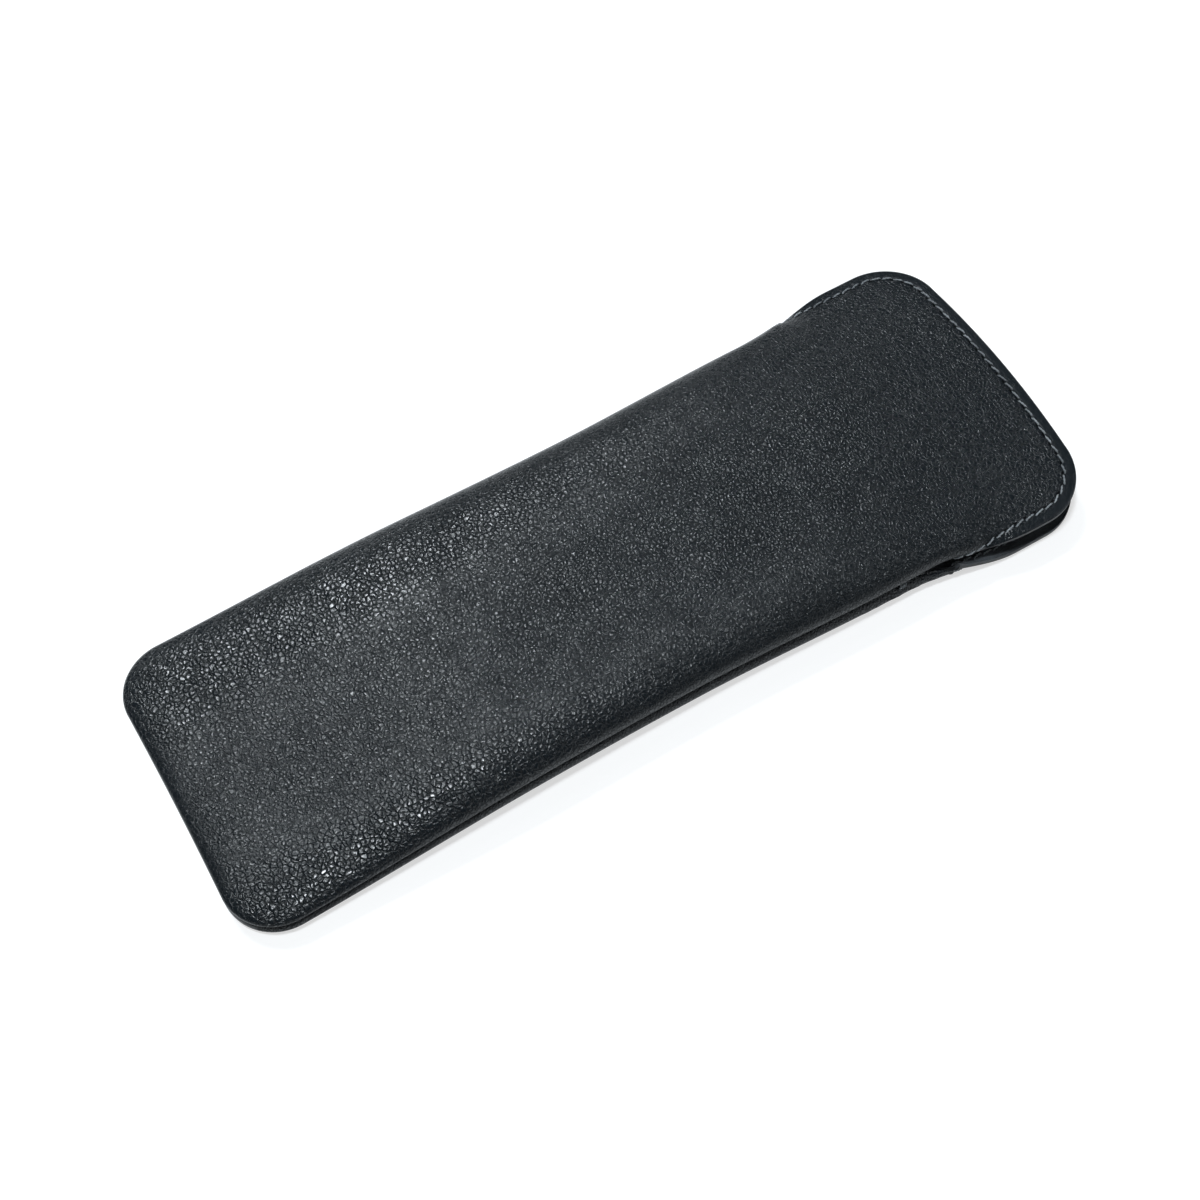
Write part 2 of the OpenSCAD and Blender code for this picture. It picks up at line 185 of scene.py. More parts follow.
def roll_radius(x):
    return through([(0, ROLL_END), (NECK, ROLL_NECK)], x)


print("body is", 2 * float(half_width(WAIST_AT)), "mm wide at its waist")

# %% The net in plan
RINGS, WIDEST, STITCH_RING, PAD_RING = 7, 3, 2, 5
CENTRE_STEPS, BODY_STEPS, NECK_STEPS = 6, 9, 5
NECK_ROW = RINGS + BODY_STEPS
LAST_COL = 2 * RINGS + CENTRE_STEPS
LAST_ROW = NECK_ROW + NECK_STEPS + RINGS - 1
# The rows lie closer together just beyond the neck, where the lips spread
NECK_CROWDING = 1.2
print("the pattern has", LAST_ROW + 1, "rows and", LAST_COL + 1, "columns")


def side_ring(j):
    """Which ring a column is, counted from its own side."""
    return np.minimum(j, LAST_COL - j)


def mouth_ring(i):
    """Which ring a row is, counted from the mouth."""
    return LAST_ROW - i + 1


def body_inset(k, r):
    """Distance of a ring inside the widest outline of the body."""
    k = np.asarray(k, float)
    roll = r * (1 - np.sin(np.pi / 2 * (np.clip(k, 1, WIDEST) - 1) / (WIDEST - 1)))
    turn = np.pi / 2 * (np.clip(k, WIDEST, RINGS) - WIDEST) / (RINGS - WIDEST)
    shoulder = CORNER * (1 - np.cos(turn).clip(0) ** (2 / SHOULDER_POWER))
    return np.where(k < 1, r + ALLOWANCE * (1 - k), np.where(k <= WIDEST, roll, shoulder))


def lip_inset(k):
    """Distance of a ring inside the lip's edge."""
    return np.interp(k, [1, STITCH_RING, RINGS], [0, STITCH_MARGIN, LIP_CORNER])


def corner_turn(from_end, from_side):
    """Angle round a corner, from the side (0) towards the end (a right angle)."""
    k = np.minimum(from_end, from_side)
    room = np.maximum(RINGS - k, 1e-9)
    share = np.where(from_end < from_side, (from_side - k) / room, -(from_end - k) / room)
    return np.pi / 4 * (1 + share)


def row_distance(i):
    """Millimetres from the closed end to a row."""
    body = mix(CORNER, NECK, (i - RINGS) / BODY_STEPS)
    beyond = np.clip((i - NECK_ROW) / NECK_STEPS, 0, 1) ** NECK_CROWDING
    return np.where(i <= NECK_ROW, body, mix(NECK, LIP_CORNER_AT, beyond))


def centre_share(j):
    """How far a column is from the middle line: 1 at the first flat column."""
    return 1 - np.maximum(side_ring(j) - RINGS, 0) / (CENTRE_STEPS / 2)


# %% Places of the body and of the lips in plan
def body_plan(i, j):
    """Distances from the closed end and the middle line, on the body."""
    k, x = side_ring(j), row_distance(i)
    ring = np.minimum(i, k)
    arc = CORNER - body_inset(ring, ROLL_END)
    turn = corner_turn(i, k)
    corner_x = CORNER - arc * np.sin(turn)
    corner_y = half_width(corner_x) - CORNER + arc * np.cos(turn)
    end_x = body_inset(i, ROLL_END)
    end_y = (END_HALF - CORNER) * centre_share(j)
    side_y = half_width(x) - np.where(
        k < RINGS, body_inset(k, roll_radius(x)), CORNER)
    side_y = np.where(k < RINGS, side_y, side_y * centre_share(j))
    at_end, at_side = i < RINGS, k < RINGS
    px = np.where(at_end & at_side, corner_x, np.where(at_end, end_x, x))
    py = np.where(at_end & at_side, corner_y, np.where(at_end, end_y, side_y))
    return px, py


def lip_plan(i, j):
    """The same two distances, on a lip."""
    k, m, x = side_ring(j), mouth_ring(i), row_distance(i)
    arc = LIP_CORNER - lip_inset(np.minimum(m, k))
    turn = corner_turn(m, k)
    corner_x = LIP_CORNER_AT + arc * np.sin(turn)
    corner_y = LIP_HALF - LIP_CORNER + arc * np.cos(turn)
    flat_y = (LIP_HALF - LIP_CORNER) * centre_share(j)
    at_mouth, at_side = m < RINGS, k < RINGS
    px = np.where(at_mouth & at_side, corner_x,
                  np.where(at_mouth, LENGTH - MOUTH_BOW - lip_inset(m), x))
    py = np.where(at_mouth & at_side, corner_y,
                  np.where(at_side, LIP_HALF - lip_inset(k), flat_y))
    return px, py


def lip_share(i, late=0):
    """None of the lip's form in the body, and all of it at the mouth.

    A lip that starts some millimetres late has made up half of that at the end.
    """
    flare = ease((row_distance(i) - NECK - late) / (FLARE_LENGTH - 0.5 * late))
    return np.where(mouth_ring(i) <= RINGS, 1, np.where(i <= NECK_ROW, 0, flare))


def opened(k, r, w):
    """How far the edge moves out while its roll opens, so that the outline keeps its width."""
    rings = np.linspace(1, WIDEST, 17)[:, None, None]
    least = mix(body_inset(rings, r[None]), lip_inset(rings), w[None]).min(0)
    fade = np.clip((k - WIDEST) / (RINGS - WIDEST), 0, 1)
    return least * (1 - fade)


# %% Heights, and points of the two grain faces
def roll_rise(k, r):
    """How far a ring has climbed in the roll beside the seam."""
    turn = np.pi / 2 * (np.clip(k, 1, WIDEST) - 1) / (WIDEST - 1)
    return r * (1 - np.cos(turn))


def shoulder(k, r):
    """The share of the shoulder's height that a ring has reached."""
    d = np.clip(body_inset(k, r) / SHOULDER, 0, 1)
    rise = (1 - (1 - d) ** SHOULDER_POWER).clip(0) ** (1 / SHOULDER_POWER)
    return np.where(k <= WIDEST, 0, rise)


def face_point(i, j, front):
    """Points in millimetres of the front or back grain face, for arrays of rows and columns."""
    i, j = np.broadcast_arrays(np.asarray(i, float), np.asarray(j, float))
    px, py = body_plan(np.minimum(i, NECK_ROW + NECK_STEPS), j)
    k = np.minimum(np.minimum(i, side_ring(j)), RINGS)
    r, side = roll_radius(px), (1 if front else -1)
    seam = seam_height(px) + side * SEAM_GAP / 2
    sag = (FRONT_CROWN if front else BACK_CROWN) * (py / half_width(px)) ** 2
    if front:
        body_z = seam + roll_rise(k, r) + (thickness(px) - seam - r) * shoulder(k, r) * (1 - sag)
    else:
        reach = (seam - r + REST_DEPTH) * shoulder(k, r) * (1 - sag)
        body_z = np.maximum(0, seam - roll_rise(k, r) - reach)
    lx, ly = lip_plan(i, j)
    edge = mix(thickness(lx), LIP_EDGE_HEIGHT, np.clip(ly / LIP_HALF, 0, 1) ** 2)
    lip_z = edge if front else np.full_like(edge, BACK_LIP_HEIGHT)
    # The folded shoulder on the right keeps the front lip shut a little longer
    w = lip_share(i, np.where(j < LAST_COL / 2, RIGHT_STAYS_SHUT, 0) if front else 0)
    inner = np.clip((side_ring(j) - WIDEST) / (PAD_RING - WIDEST), 0, 1)
    slow = ease((row_distance(i) - NECK + FLATTEN_LEAD) / (FLATTEN_LEAD + FLARE_LENGTH))
    h = np.where(i < RINGS, 0, mix(w, slow, inner))
    x, z = mix(px, lx, w), mix(body_z, lip_z, h)
    y = mix(py, ly, w) + opened(side_ring(j), r, w)
    end_arch = 1 - np.clip(y / (END_HALF - CORNER), 0, 1) ** 2
    mouth_arch = 1 - np.clip(y / (LIP_HALF - LIP_CORNER), 0, 1) ** 2
    x = x + END_DRAW * end_arch * (1 - ease(x / WAIST_AT)) + MOUTH_BOW * mouth_arch * w
    return np.stack([x - LENGTH / 2, np.where(j < LAST_COL / 2, -y, y), z], -1)


top_of_neck = face_point([[NECK_ROW]], [[LAST_COL / 2]], True)[0, 0, 2]
print("the middle of the neck is", round(float(top_of_neck), 2), "mm high")

# %% [markdown]
# ## How fine the net is
# The steps are about half a millimetre over the flat middle and much closer in the roll beside
# the seam and along the edge of the lips, where the leather turns sharply.

# %% Rows and columns of the fine net
ALLOWANCE_STEPS, ROLL_STEPS, SHOULDER_STEPS, MIDDLE_STEPS = 4, 16, 22, 36
BODY_ROWS, NECK_ROWS, FLARE_ROWS, MARGIN_ROWS = 200, 50, 100, 17
ROLL_CROWDING = 1.6


def steps(first, last, count):
    """Even steps from the first value towards the last one, which is left out."""
    return np.linspace(first, last, count + 1)[:-1]


roll_rings = 1 + (WIDEST - 1) * np.linspace(0, 1, ROLL_STEPS + 1) ** ROLL_CROWDING
rings = np.concatenate([steps(0, 1, ALLOWANCE_STEPS), roll_rings[:-1],
                        np.linspace(WIDEST, RINGS, SHOULDER_STEPS + 1)])
half_cols = np.concatenate([rings[:-1], np.linspace(RINGS, LAST_COL / 2, MIDDLE_STEPS + 1)])
COLS = np.concatenate([half_cols, (LAST_COL - half_cols)[::-1][1:]])
edge_rings = rings[(rings >= 1) & (rings < STITCH_RING)][::-1]
ROWS = np.concatenate([
    rings[:-1], steps(RINGS, NECK_ROW - 1, BODY_ROWS), steps(NECK_ROW - 1, NECK_ROW, NECK_ROWS),
    NECK_ROW + NECK_STEPS * steps(0, 1, FLARE_ROWS) ** (1 / NECK_CROWDING),
    LAST_ROW + 1 - steps(RINGS, STITCH_RING, MARGIN_ROWS),
    LAST_ROW + 1 - np.concatenate([[STITCH_RING], edge_rings]),
])
I, J = np.meshgrid(ROWS, COLS, indexing="ij")
K = side_ring(J)
EDGE_RING = np.minimum(np.minimum(K, I), mouth_ring(I))
ON_RIGHT = J < LAST_COL / 2
print("the fine net has", len(ROWS), "rows and", len(COLS), "columns")

# %% Helpers for the nets
LATTICE = 64


def smooth_noise(u, v, size, seed):
    """Even, soft noise from -1 to 1 over a plane, with hills about `size` wide."""
    lattice = np.random.default_rng(seed).uniform(-1, 1, (LATTICE, LATTICE))
    a, b = u / size, v / size
    ia, ib = np.floor(a).astype(int), np.floor(b).astype(int)
    ta, tb = ease(a - ia), ease(b - ib)
    near, far = ([lattice[(ia + da) % LATTICE, (ib + db) % LATTICE] for da in (0, 1)]
                 for db in (0, 1))
    return mix(mix(*near, ta), mix(*far, ta), tb)


def unit(vectors):
    """The same directions, each one long."""
    return vectors / np.maximum(np.linalg.norm(vectors, axis=-1, keepdims=True), 1e-12)


def normals_of(points):
    """Directions out of a net of points, averaged from the cells round each point."""
    across = points[:, 1:] - points[:, :-1]
    along = points[1:] - points[:-1]
    total = np.zeros_like(points)
    for rows, cols in ((0, 0), (0, 1), (1, 0), (1, 1)):
        a = along[:, cols:along.shape[1] - 1 + cols]
        b = across[rows:across.shape[0] - 1 + rows]
        cell = np.cross(a, b)
        total[rows:total.shape[0] - 1 + rows, cols:total.shape[1] - 1 + cols] += cell
    return unit(total)


# %% [markdown]
# ## Working the leather
# Leather that has been turned and handled is never a perfect form. It is pulled down a little
# by each row of stitches, its cut edge is rounded, its padding gives soft hollows, and where
# the lips spread from the seam it folds into short slanting creases. These small moves are made
# along the face's own direction, so that they follow every curve.

# %% Creases beside the neck
# How far each point is over the leather from the seam, and along the sleeve, in millimetres
ARC = np.interp(K, [0, 1, WIDEST, RINGS, LAST_COL / 2], [-2.2, 0, 3.1, 13.5, 32])
ROW_AT = row_distance(I)
# Each crease runs from one place to another: along and over, twice, and then its depth
CREASES = [
    (NECK - 5.0, 1.4, NECK + 1.5, 4.6, 0.30), (NECK - 1.6, 1.0, NECK + 4.2, 4.2, 0.34),
    (NECK + 2.6, 0.8, NECK + 7.4, 3.4, 0.22), (NECK - 9.0, 2.4, NECK - 4.2, 5.2, 0.16),
]
CREASE_WIDTH, RIDGE_WIDTH, RIDGE_SHARE, WANDER = 0.26, 0.8, 0.45, 0.25


def crease_depth(shift):
    """Depth of the slanting creases beside the neck, each a groove between two soft ridges."""
    total = np.zeros(I.shape)
    for x0, a0, x1, a1, depth in CREASES:
        run, rise = x1 - x0, a1 - a0
        length = math.hypot(run, rise)
        dx, da = ROW_AT - x0 - shift, ARC - a0
        t = (dx * run + da * rise) / length ** 2
        off = (dx * rise - da * run) / length + WANDER * np.sin(3.1 * t + shift)
        # It fades out at its two ends and close to the seam
        fade = ease(t / 0.3) * ease((1 - t) / 0.35) * ease((ARC - 0.6) / 1.6)
        ridges = RIDGE_SHARE * np.exp(-(off / RIDGE_WIDTH) ** 2)
        total += depth * fade * (np.exp(-(off / CREASE_WIDTH) ** 2) - ridges)
    return total


RIGHT_CREASES, LEFT_CREASES = crease_depth(0.0), 0.8 * crease_depth(0.9)
print("the deepest crease is", round(float(RIGHT_CREASES.max()), 2), "mm deep")

# %% Front and back grain faces
# How far a point is in from the lip's edge, and how much of the lip's own working it gets,
# which starts a little beyond the neck
LIP_STARTS, LIP_FADE = 4, 6
LIP_DISTANCE = np.where(I > NECK_ROW, lip_inset(np.minimum(K, mouth_ring(I))), 99.0)
LIP_HERE = ease((ROW_AT - NECK - LIP_STARTS) / LIP_FADE)
FREE_ROW, FREE_COL = int(np.searchsorted(ROWS, NECK_ROW + 0.2)), int(np.searchsorted(COLS, 1))
# The pull of the stitches, the thinner margin outside them, and the rounded cut edge
PULL_DEPTH, PULL_WIDTH, MARGIN_DEPTH = 0.06, 0.45, 0.1
EDGE_DEPTH, EDGE_WIDTH = 0.22, 0.35
# Soft hollows of two widths: their share of the depth, their width and their seed
HOLLOW_DEPTH, HOLLOWS = 0.12, ((0.6, 17, 3), (0.4, 7, 4))


def worked_face(front):
    """Points of a grain face with all its small moves, and the directions out of it."""
    side = 1 if front else -1
    face = face_point(I, J, front)
    out = side * normals_of(face)
    # The free lips have no seam allowance, so their directions are found without it
    free = (slice(FREE_ROW, None), slice(FREE_COL, len(COLS) - FREE_COL))
    out[free] = side * normals_of(face[:, free[1]])[free[0]]
    pull = np.exp(-((LIP_DISTANCE - STITCH_MARGIN) / PULL_WIDTH) ** 2)
    margin = ease((STITCH_MARGIN - LIP_DISTANCE) / STITCH_MARGIN)
    edge = 1 - np.sqrt(1 - (1 - np.clip(LIP_DISTANCE / EDGE_WIDTH, 0, 1)) ** 2)
    move = -(PULL_DEPTH * pull + MARGIN_DEPTH * margin + EDGE_DEPTH * edge) * LIP_HERE
    if front:
        inside = ease((EDGE_RING - WIDEST) / 3)
        for share, width, seed in HOLLOWS:
            hollow = share * smooth_noise(face[..., 0], face[..., 1], width, seed)
            move += HOLLOW_DEPTH * hollow * inside
    else:
        move -= np.where(ON_RIGHT, RIGHT_CREASES, LEFT_CREASES)
    return face + move[..., None] * out, out


front_face, front_out = worked_face(True)
back_face, back_out = worked_face(False)
back_face[..., 2] = np.maximum(back_face[..., 2], 0)
print("the front face is", round(float(front_face[..., 2].max()), 2), "mm high")

# %% Thickness of the layers
LEATHER_DEPTH = mix(SKIVED, LEATHER, np.clip(EDGE_RING / WIDEST, 0, 1))
pad_side = np.interp(K, [PAD_RING - 1, PAD_RING, PAD_RING + 1], [0, PADDING_EDGE, PADDING])
pad_rows = [RINGS, RINGS + 1, RINGS + 2, NECK_ROW - 2, NECK_ROW - 1, NECK_ROW]
pad_end = np.interp(I, pad_rows, [0, PADDING_EDGE, PADDING, PADDING, PADDING_EDGE, 0])
PADDING_DEPTH = np.minimum(pad_side, pad_end)


def under(face, out, depth):
    """A face moved inwards by a depth, which is a number or a value for each point."""
    return face - np.asarray(depth)[..., None] * out


print("the layers are", round(float((LEATHER_DEPTH + PADDING_DEPTH).max()) + LINING, 2), "mm thick")

# %% Cells that each layer covers, and one closed sheet
cell_ring = np.minimum(K[:-1, :-1], K[:-1, 1:])
cell_row = I[:-1, :-1]
COVERS = {
    "leather": (cell_ring >= 1) | (cell_row < NECK_ROW),
    "lining": (cell_row >= WIDEST + 1) & (
        cell_ring >= np.where(cell_row >= NECK_ROW + 1, 1, WIDEST + 1)),
    "padding": (cell_row >= RINGS + 1) & (cell_row < NECK_ROW - 1) & (cell_ring >= PAD_RING),
}
print("cells in each layer:", {kind: int(cells.sum()) for kind, cells in COVERS.items()})


def mesh_object(name, points, faces, smooth_angle=50):
    """A smoothly shaded object in metres, from points in millimetres."""
    mesh = bpy.data.meshes.new(name)
    mesh.from_pydata((points * MM).tolist(), [], faces)
    mesh.update()
    mesh.shade_smooth()
    mesh.set_sharp_from_angle(angle=math.radians(smooth_angle))
    made = bpy.data.objects.new(name, mesh)
    bpy.context.scene.collection.objects.link(made)
    return made


def sheet(name, outer, inner, kind, up_side):
    """A closed sheet: the covered cells of two nets, and a wall along each free side."""
    wide, count = len(COLS), I.size
    a, b = np.nonzero(COVERS[kind])
    first = a * wide + b
    square = np.stack([first, first + wide, first + wide + 1, first + 1], 1)
    faces = [square, square[:, ::-1] + count]
    covered = np.pad(COVERS[kind], 1)
    for da, db, p, q in ((0, -1, 0, 1), (1, 0, 1, 2), (0, 1, 2, 3), (-1, 0, 3, 0)):
        free = square[~covered[a + 1 + da, b + 1 + db]]
        faces.append(np.stack([free[:, q], free[:, p], free[:, p] + count,
                               free[:, q] + count], 1))
    grain_cells = len(square)
    faces = np.concatenate(faces)
    if up_side < 0:
        faces = faces[:, ::-1]
    used, compact = np.unique(faces, return_inverse=True)
    points = np.concatenate([outer.reshape(-1, 3), inner.reshape(-1, 3)])[used]
    made = mesh_object(name, points, compact.reshape(-1, 4).tolist())
    made["grain_cells"] = grain_cells
    return made, used


# %% [markdown]
# ## Where the grain lies
# Pebbled grain is pressed or tumbled into the flat hide, so its scale stays the same when the
# hide bends round a shoulder. Each point of the panel therefore remembers its place on the
# flat hide in millimetres, and the pattern is drawn there and not on the bent surface.

# %% Flat-hide coordinates
def hide_place(face):
    """Places on the flat hide, unrolled from the flat middle towards every edge."""
    flat_col = int(np.argmin(np.abs(COLS - RINGS)))
    flat_row = int(np.argmin(np.abs(ROWS - RINGS)))
    step = np.linalg.norm(np.diff(face, axis=1), axis=-1)
    reach = np.zeros(face.shape[:2])
    reach[:, :flat_col] = np.cumsum(step[:, :flat_col][:, ::-1], 1)[:, ::-1]
    reach[:, -flat_col:] = reach[:, :flat_col][:, ::-1]
    sign = np.where(ON_RIGHT, -1.0, 1.0)
    corner_y = np.abs(face[:, flat_col, 1])[:, None]
    v = np.where(K < RINGS, sign * (corner_y + reach), face[..., 1])
    # The closed end unrolls round its corners, by the lengths found at its first flat row
    at_end = I < RINGS
    ring = np.minimum(np.minimum(I, K), RINGS)
    length = np.interp(ring, COLS[:flat_col + 1], reach[flat_row, :flat_col + 1])
    turn = np.where(K < RINGS, corner_turn(I, K), np.pi / 2)
    u = np.where(at_end, face[flat_row, :, 0][None] - length * np.sin(turn), face[..., 0])
    v_corner = sign * (corner_y[flat_row] + length * np.cos(turn))
    v_end = np.where(K < RINGS, v_corner, face[flat_row, :, 1][None])
    return np.stack([u, np.where(at_end, v_end, v), np.zeros_like(u)], -1)


def store(made, used, name, kind, values):
    """Keeps a value for each point of the mesh, for its material to read."""
    size = values.shape[-1] if values.ndim == 3 else 1
    flat = np.concatenate([values.reshape(-1, size)] * 2)[used].astype(np.float32)
    layer = made.data.attributes.new(name, kind, "POINT")
    layer.data.foreach_set("vector" if size == 3 else "value", flat.ravel())


# %% [markdown]
# ## Stitch lines
# A sewing machine leaves one row of needle thread outside and one row of bobbin thread inside,
# a little over two millimetres from the edge. The line is found first, because the leather
# needs it for its needle holes and the thread needs it for its stitches.

# %% Lines on the net
def line_round(start, end, ring, along, across):
    """Rows and columns of a line up the right side, across, and back down the left side."""
    rows = np.concatenate([np.linspace(start, end, along), np.full(across, end),
                           np.linspace(end, start, along)])
    cols = np.concatenate([np.full(along, ring), np.linspace(ring, LAST_COL - ring, across),
                           np.full(along, LAST_COL - ring)])
    return rows, cols


def net_values(rows, cols, values):
    """Values of a net of points at fractional rows and columns."""
    a = np.clip(np.searchsorted(ROWS, rows, side="right") - 1, 0, len(ROWS) - 2)
    b = np.clip(np.searchsorted(COLS, cols, side="right") - 1, 0, len(COLS) - 2)
    ta = ((rows - ROWS[a]) / (ROWS[a + 1] - ROWS[a]))[:, None]
    tb = ((cols - COLS[b]) / (COLS[b + 1] - COLS[b]))[:, None]
    return mix(mix(values[a, b], values[a + 1, b], ta),
               mix(values[a, b + 1], values[a + 1, b + 1], ta), tb)


def holes_along(line, normal, pitch):
    """Even needle holes along a line, the direction out of the face at each of them, and how
    many stitches along every point of the line is."""
    length = np.concatenate([[0], np.cumsum(np.linalg.norm(np.diff(line, axis=0), axis=1))])
    count = int(length[-1] // pitch)
    at = np.linspace(0, length[-1], count + 1)
    hole, direction = (np.stack([np.interp(at, length, values[:, c]) for c in range(3)], 1)
                       for values in (line, normal))
    return hole, unit(direction), length / (length[-1] / count)


# %% The line round a lip
LIP_LINE = line_round(NECK_ROW + 2, LAST_ROW + 1 - STITCH_RING, STITCH_RING, 1200, 1200)
# How near the line a point has to be, and how far inside it the holes and their painted shade
# show, on the side where the thread's shadow falls
NEAR_LINE, HOLES_AND_SHADE_INSIDE = 4.5, 0.26
FAR_AWAY = 9.0


def lip_holes(face, out):
    """The needle holes along a lip, as from holes_along, and the line that they lie on."""
    line = net_values(*LIP_LINE, face)
    return (*holes_along(line, net_values(*LIP_LINE, out), STITCH_PITCH), line)


def stitch_place(face, out, chunk=2000, skip=3):
    """For each point near the stitch line: distance along it in stitches, and away from it."""
    _, _, stitches_along, line = lip_holes(face, out)
    along = np.zeros(face.shape[:2])
    away = np.full(face.shape[:2], FAR_AWAY)
    near = (LIP_DISTANCE < NEAR_LINE) & (I >= NECK_ROW + 1.8)
    points = face[near]
    nearest = np.empty(len(points), int)
    for n in range(0, len(points), chunk):
        gap = np.linalg.norm(points[n:n + chunk, None] - line[None, ::skip], axis=2)
        nearest[n:n + chunk] = gap.argmin(1) * skip
    along[near] = stitches_along[nearest]
    away[near] = LIP_DISTANCE[near] - STITCH_MARGIN - HOLES_AND_SHADE_INSIDE
    return np.stack([along, away, np.zeros_like(along)], -1)


print("a lip has", len(lip_holes(front_face, front_out)[0]) - 1, "stitches")

# %% [markdown]
# ## Materials
# One function turns the hex colours into the linear values that Blender works in, and one adds
# a node with its settings and links. Everything else is said where the material is made.

# %% Helpers for materials
def linear(hex_colour):
    """An sRGB hex colour as linear red, green, blue and alpha."""
    values = [int(hex_colour[n:n + 2], 16) / 255 for n in (1, 3, 5)]
    return (*[v / 12.92 if v <= 0.04045 else ((v + 0.055) / 1.055) ** 2.4 for v in values], 1)


def add(tree, kind, settings=None, inputs=None, out=None):
    """Adds a node, sets its settings, fills its inputs, and gives back an output if named."""
    node = tree.nodes.new(kind)
    for name, value in (settings or {}).items():
        setattr(node, name, value)
    for name, value in (inputs or {}).items():
        if isinstance(value, bpy.types.NodeSocket):
            tree.links.new(value, node.inputs[name])
        else:
            node.inputs[name].default_value = value
    return node if out is None else node.outputs[out]


def new_material(name):
    """An empty node material, and its node tree."""
    made = bpy.data.materials.new(name)
    made.use_nodes = True
    made.node_tree.nodes.clear()
    return made, made.node_tree


# %% [markdown]
# ### Pebbled calf leather
# The panels are drum-dyed, milled calf with a thin clear finish. Tumbling shrinks the hide into
# small pebbles, 0.7 to 1 mm wide, with fine creases between them, and leaves each pebble
# tilted its own way. So the eye sees a sparkle of glossy tops where light grazes a shoulder,
# and a grain that grows finer and flatter where the hide was stretched towards the mouth. Cells
# give the pebbles and their tilt, a finer set the stretched zone, and noise bends all of them
# so that no crease is straight. The shade in the creases is painted into the colour, nearly
# black. Heights are in millimetres.

# %% Pebbles of two sizes
# Width of a pebble and height of its crown in millimetres, and the share over which it rises
FINE, COARSE = (0.66, 0.12, 0.4), (0.8, 0.1, 0.33)
CROWN_POWER, TILT, BEND_MM = 0.48, 1.9, 1.1
leather, tree = new_material("pebbled_calf_leather_charcoal")
hide = add(tree, "ShaderNodeAttribute", {"attribute_name": "hide"}, {}, "Vector")
grain = add(tree, "ShaderNodeAttribute", {"attribute_name": "grain"}, {}, "Fac")
relief = add(tree, "ShaderNodeAttribute", {"attribute_name": "relief"}, {}, "Fac")
stitches = add(tree, "ShaderNodeAttribute", {"attribute_name": "stitches"}, {}, "Vector")

bend = add(tree, "ShaderNodeTexNoise", {"noise_dimensions": "2D"},
           {"Vector": hide, "Scale": 1 / BEND_MM, "Detail": 3.0, "Roughness": 0.6}, "Color")
shift = add(tree, "ShaderNodeVectorMath", {"operation": "SUBTRACT"},
            {0: bend, 1: (0.5, 0.5, 0.5)}, 0)
bent = add(tree, "ShaderNodeVectorMath", {"operation": "MULTIPLY_ADD"},
           {0: shift, 1: (BEND_MM, BEND_MM, 0.0), 2: hide}, 0)
heights, tops = [], []
for size, depth, rise in (FINE, COARSE):
    look = {"Vector": bent, "Scale": 1 / size, "Randomness": 0.95}
    edge = add(tree, "ShaderNodeTexVoronoi",
               {"voronoi_dimensions": "2D", "feature": "DISTANCE_TO_EDGE"}, look, "Distance")
    share = add(tree, "ShaderNodeMapRange", {}, {"Value": edge, "From Max": rise}, "Result")
    top = add(tree, "ShaderNodeMath", {"operation": "POWER"}, {0: share, 1: CROWN_POWER}, 0)
    cell = add(tree, "ShaderNodeTexVoronoi", {"voronoi_dimensions": "2D"}, look)
    inside = add(tree, "ShaderNodeVectorMath", {"operation": "SUBTRACT"},
                 {0: bent, 1: cell.outputs["Position"]}, 0)
    lean = add(tree, "ShaderNodeVectorMath", {"operation": "SUBTRACT"},
               {0: cell.outputs["Color"], 1: (0.5, 0.5, 0.5)}, 0)
    tilt = add(tree, "ShaderNodeVectorMath", {"operation": "DOT_PRODUCT"},
               {0: inside, 1: lean}, "Value")
    crown = add(tree, "ShaderNodeMath", {"operation": "MULTIPLY"}, {0: top, 1: depth}, 0)
    heights.append(add(tree, "ShaderNodeMath", {"operation": "MULTIPLY_ADD"},
                       {0: tilt, 1: TILT * depth, 2: crown}, 0))
    tops.append(top)
pebbles, top = (add(tree, "ShaderNodeMix", {"data_type": "FLOAT"},
                    {"Factor": grain, "A": fine, "B": coarse}, "Result")
                for fine, coarse in (heights, tops))
print("pebbles are drawn by", len(tree.nodes), "nodes")

# %% Pores and patches
PORE_MM, PORE_DEPTH, PATCH_MM = 0.22, 0.012, 7.0
pores = add(tree, "ShaderNodeTexNoise", {"noise_dimensions": "2D"},
            {"Vector": hide, "Scale": 1 / PORE_MM, "Detail": 2.0, "Roughness": 0.6}, "Fac")
patches = add(tree, "ShaderNodeTexNoise", {"noise_dimensions": "2D"},
              {"Vector": hide, "Scale": 1 / PATCH_MM, "Detail": 2.0}, "Fac")
patchy = add(tree, "ShaderNodeMapRange", {},
             {"Value": patches, "From Min": 0.3, "From Max": 0.7, "To Min": 0.88, "To Max": 1.1},
             "Result")
strength = add(tree, "ShaderNodeMath", {"operation": "MULTIPLY"}, {0: patchy, 1: relief}, 0)
strong = add(tree, "ShaderNodeMath", {"operation": "MULTIPLY"}, {0: pebbles, 1: strength}, 0)
surface = add(tree, "ShaderNodeMath", {"operation": "MULTIPLY_ADD"},
              {0: pores, 1: PORE_DEPTH, 2: strong}, 0)

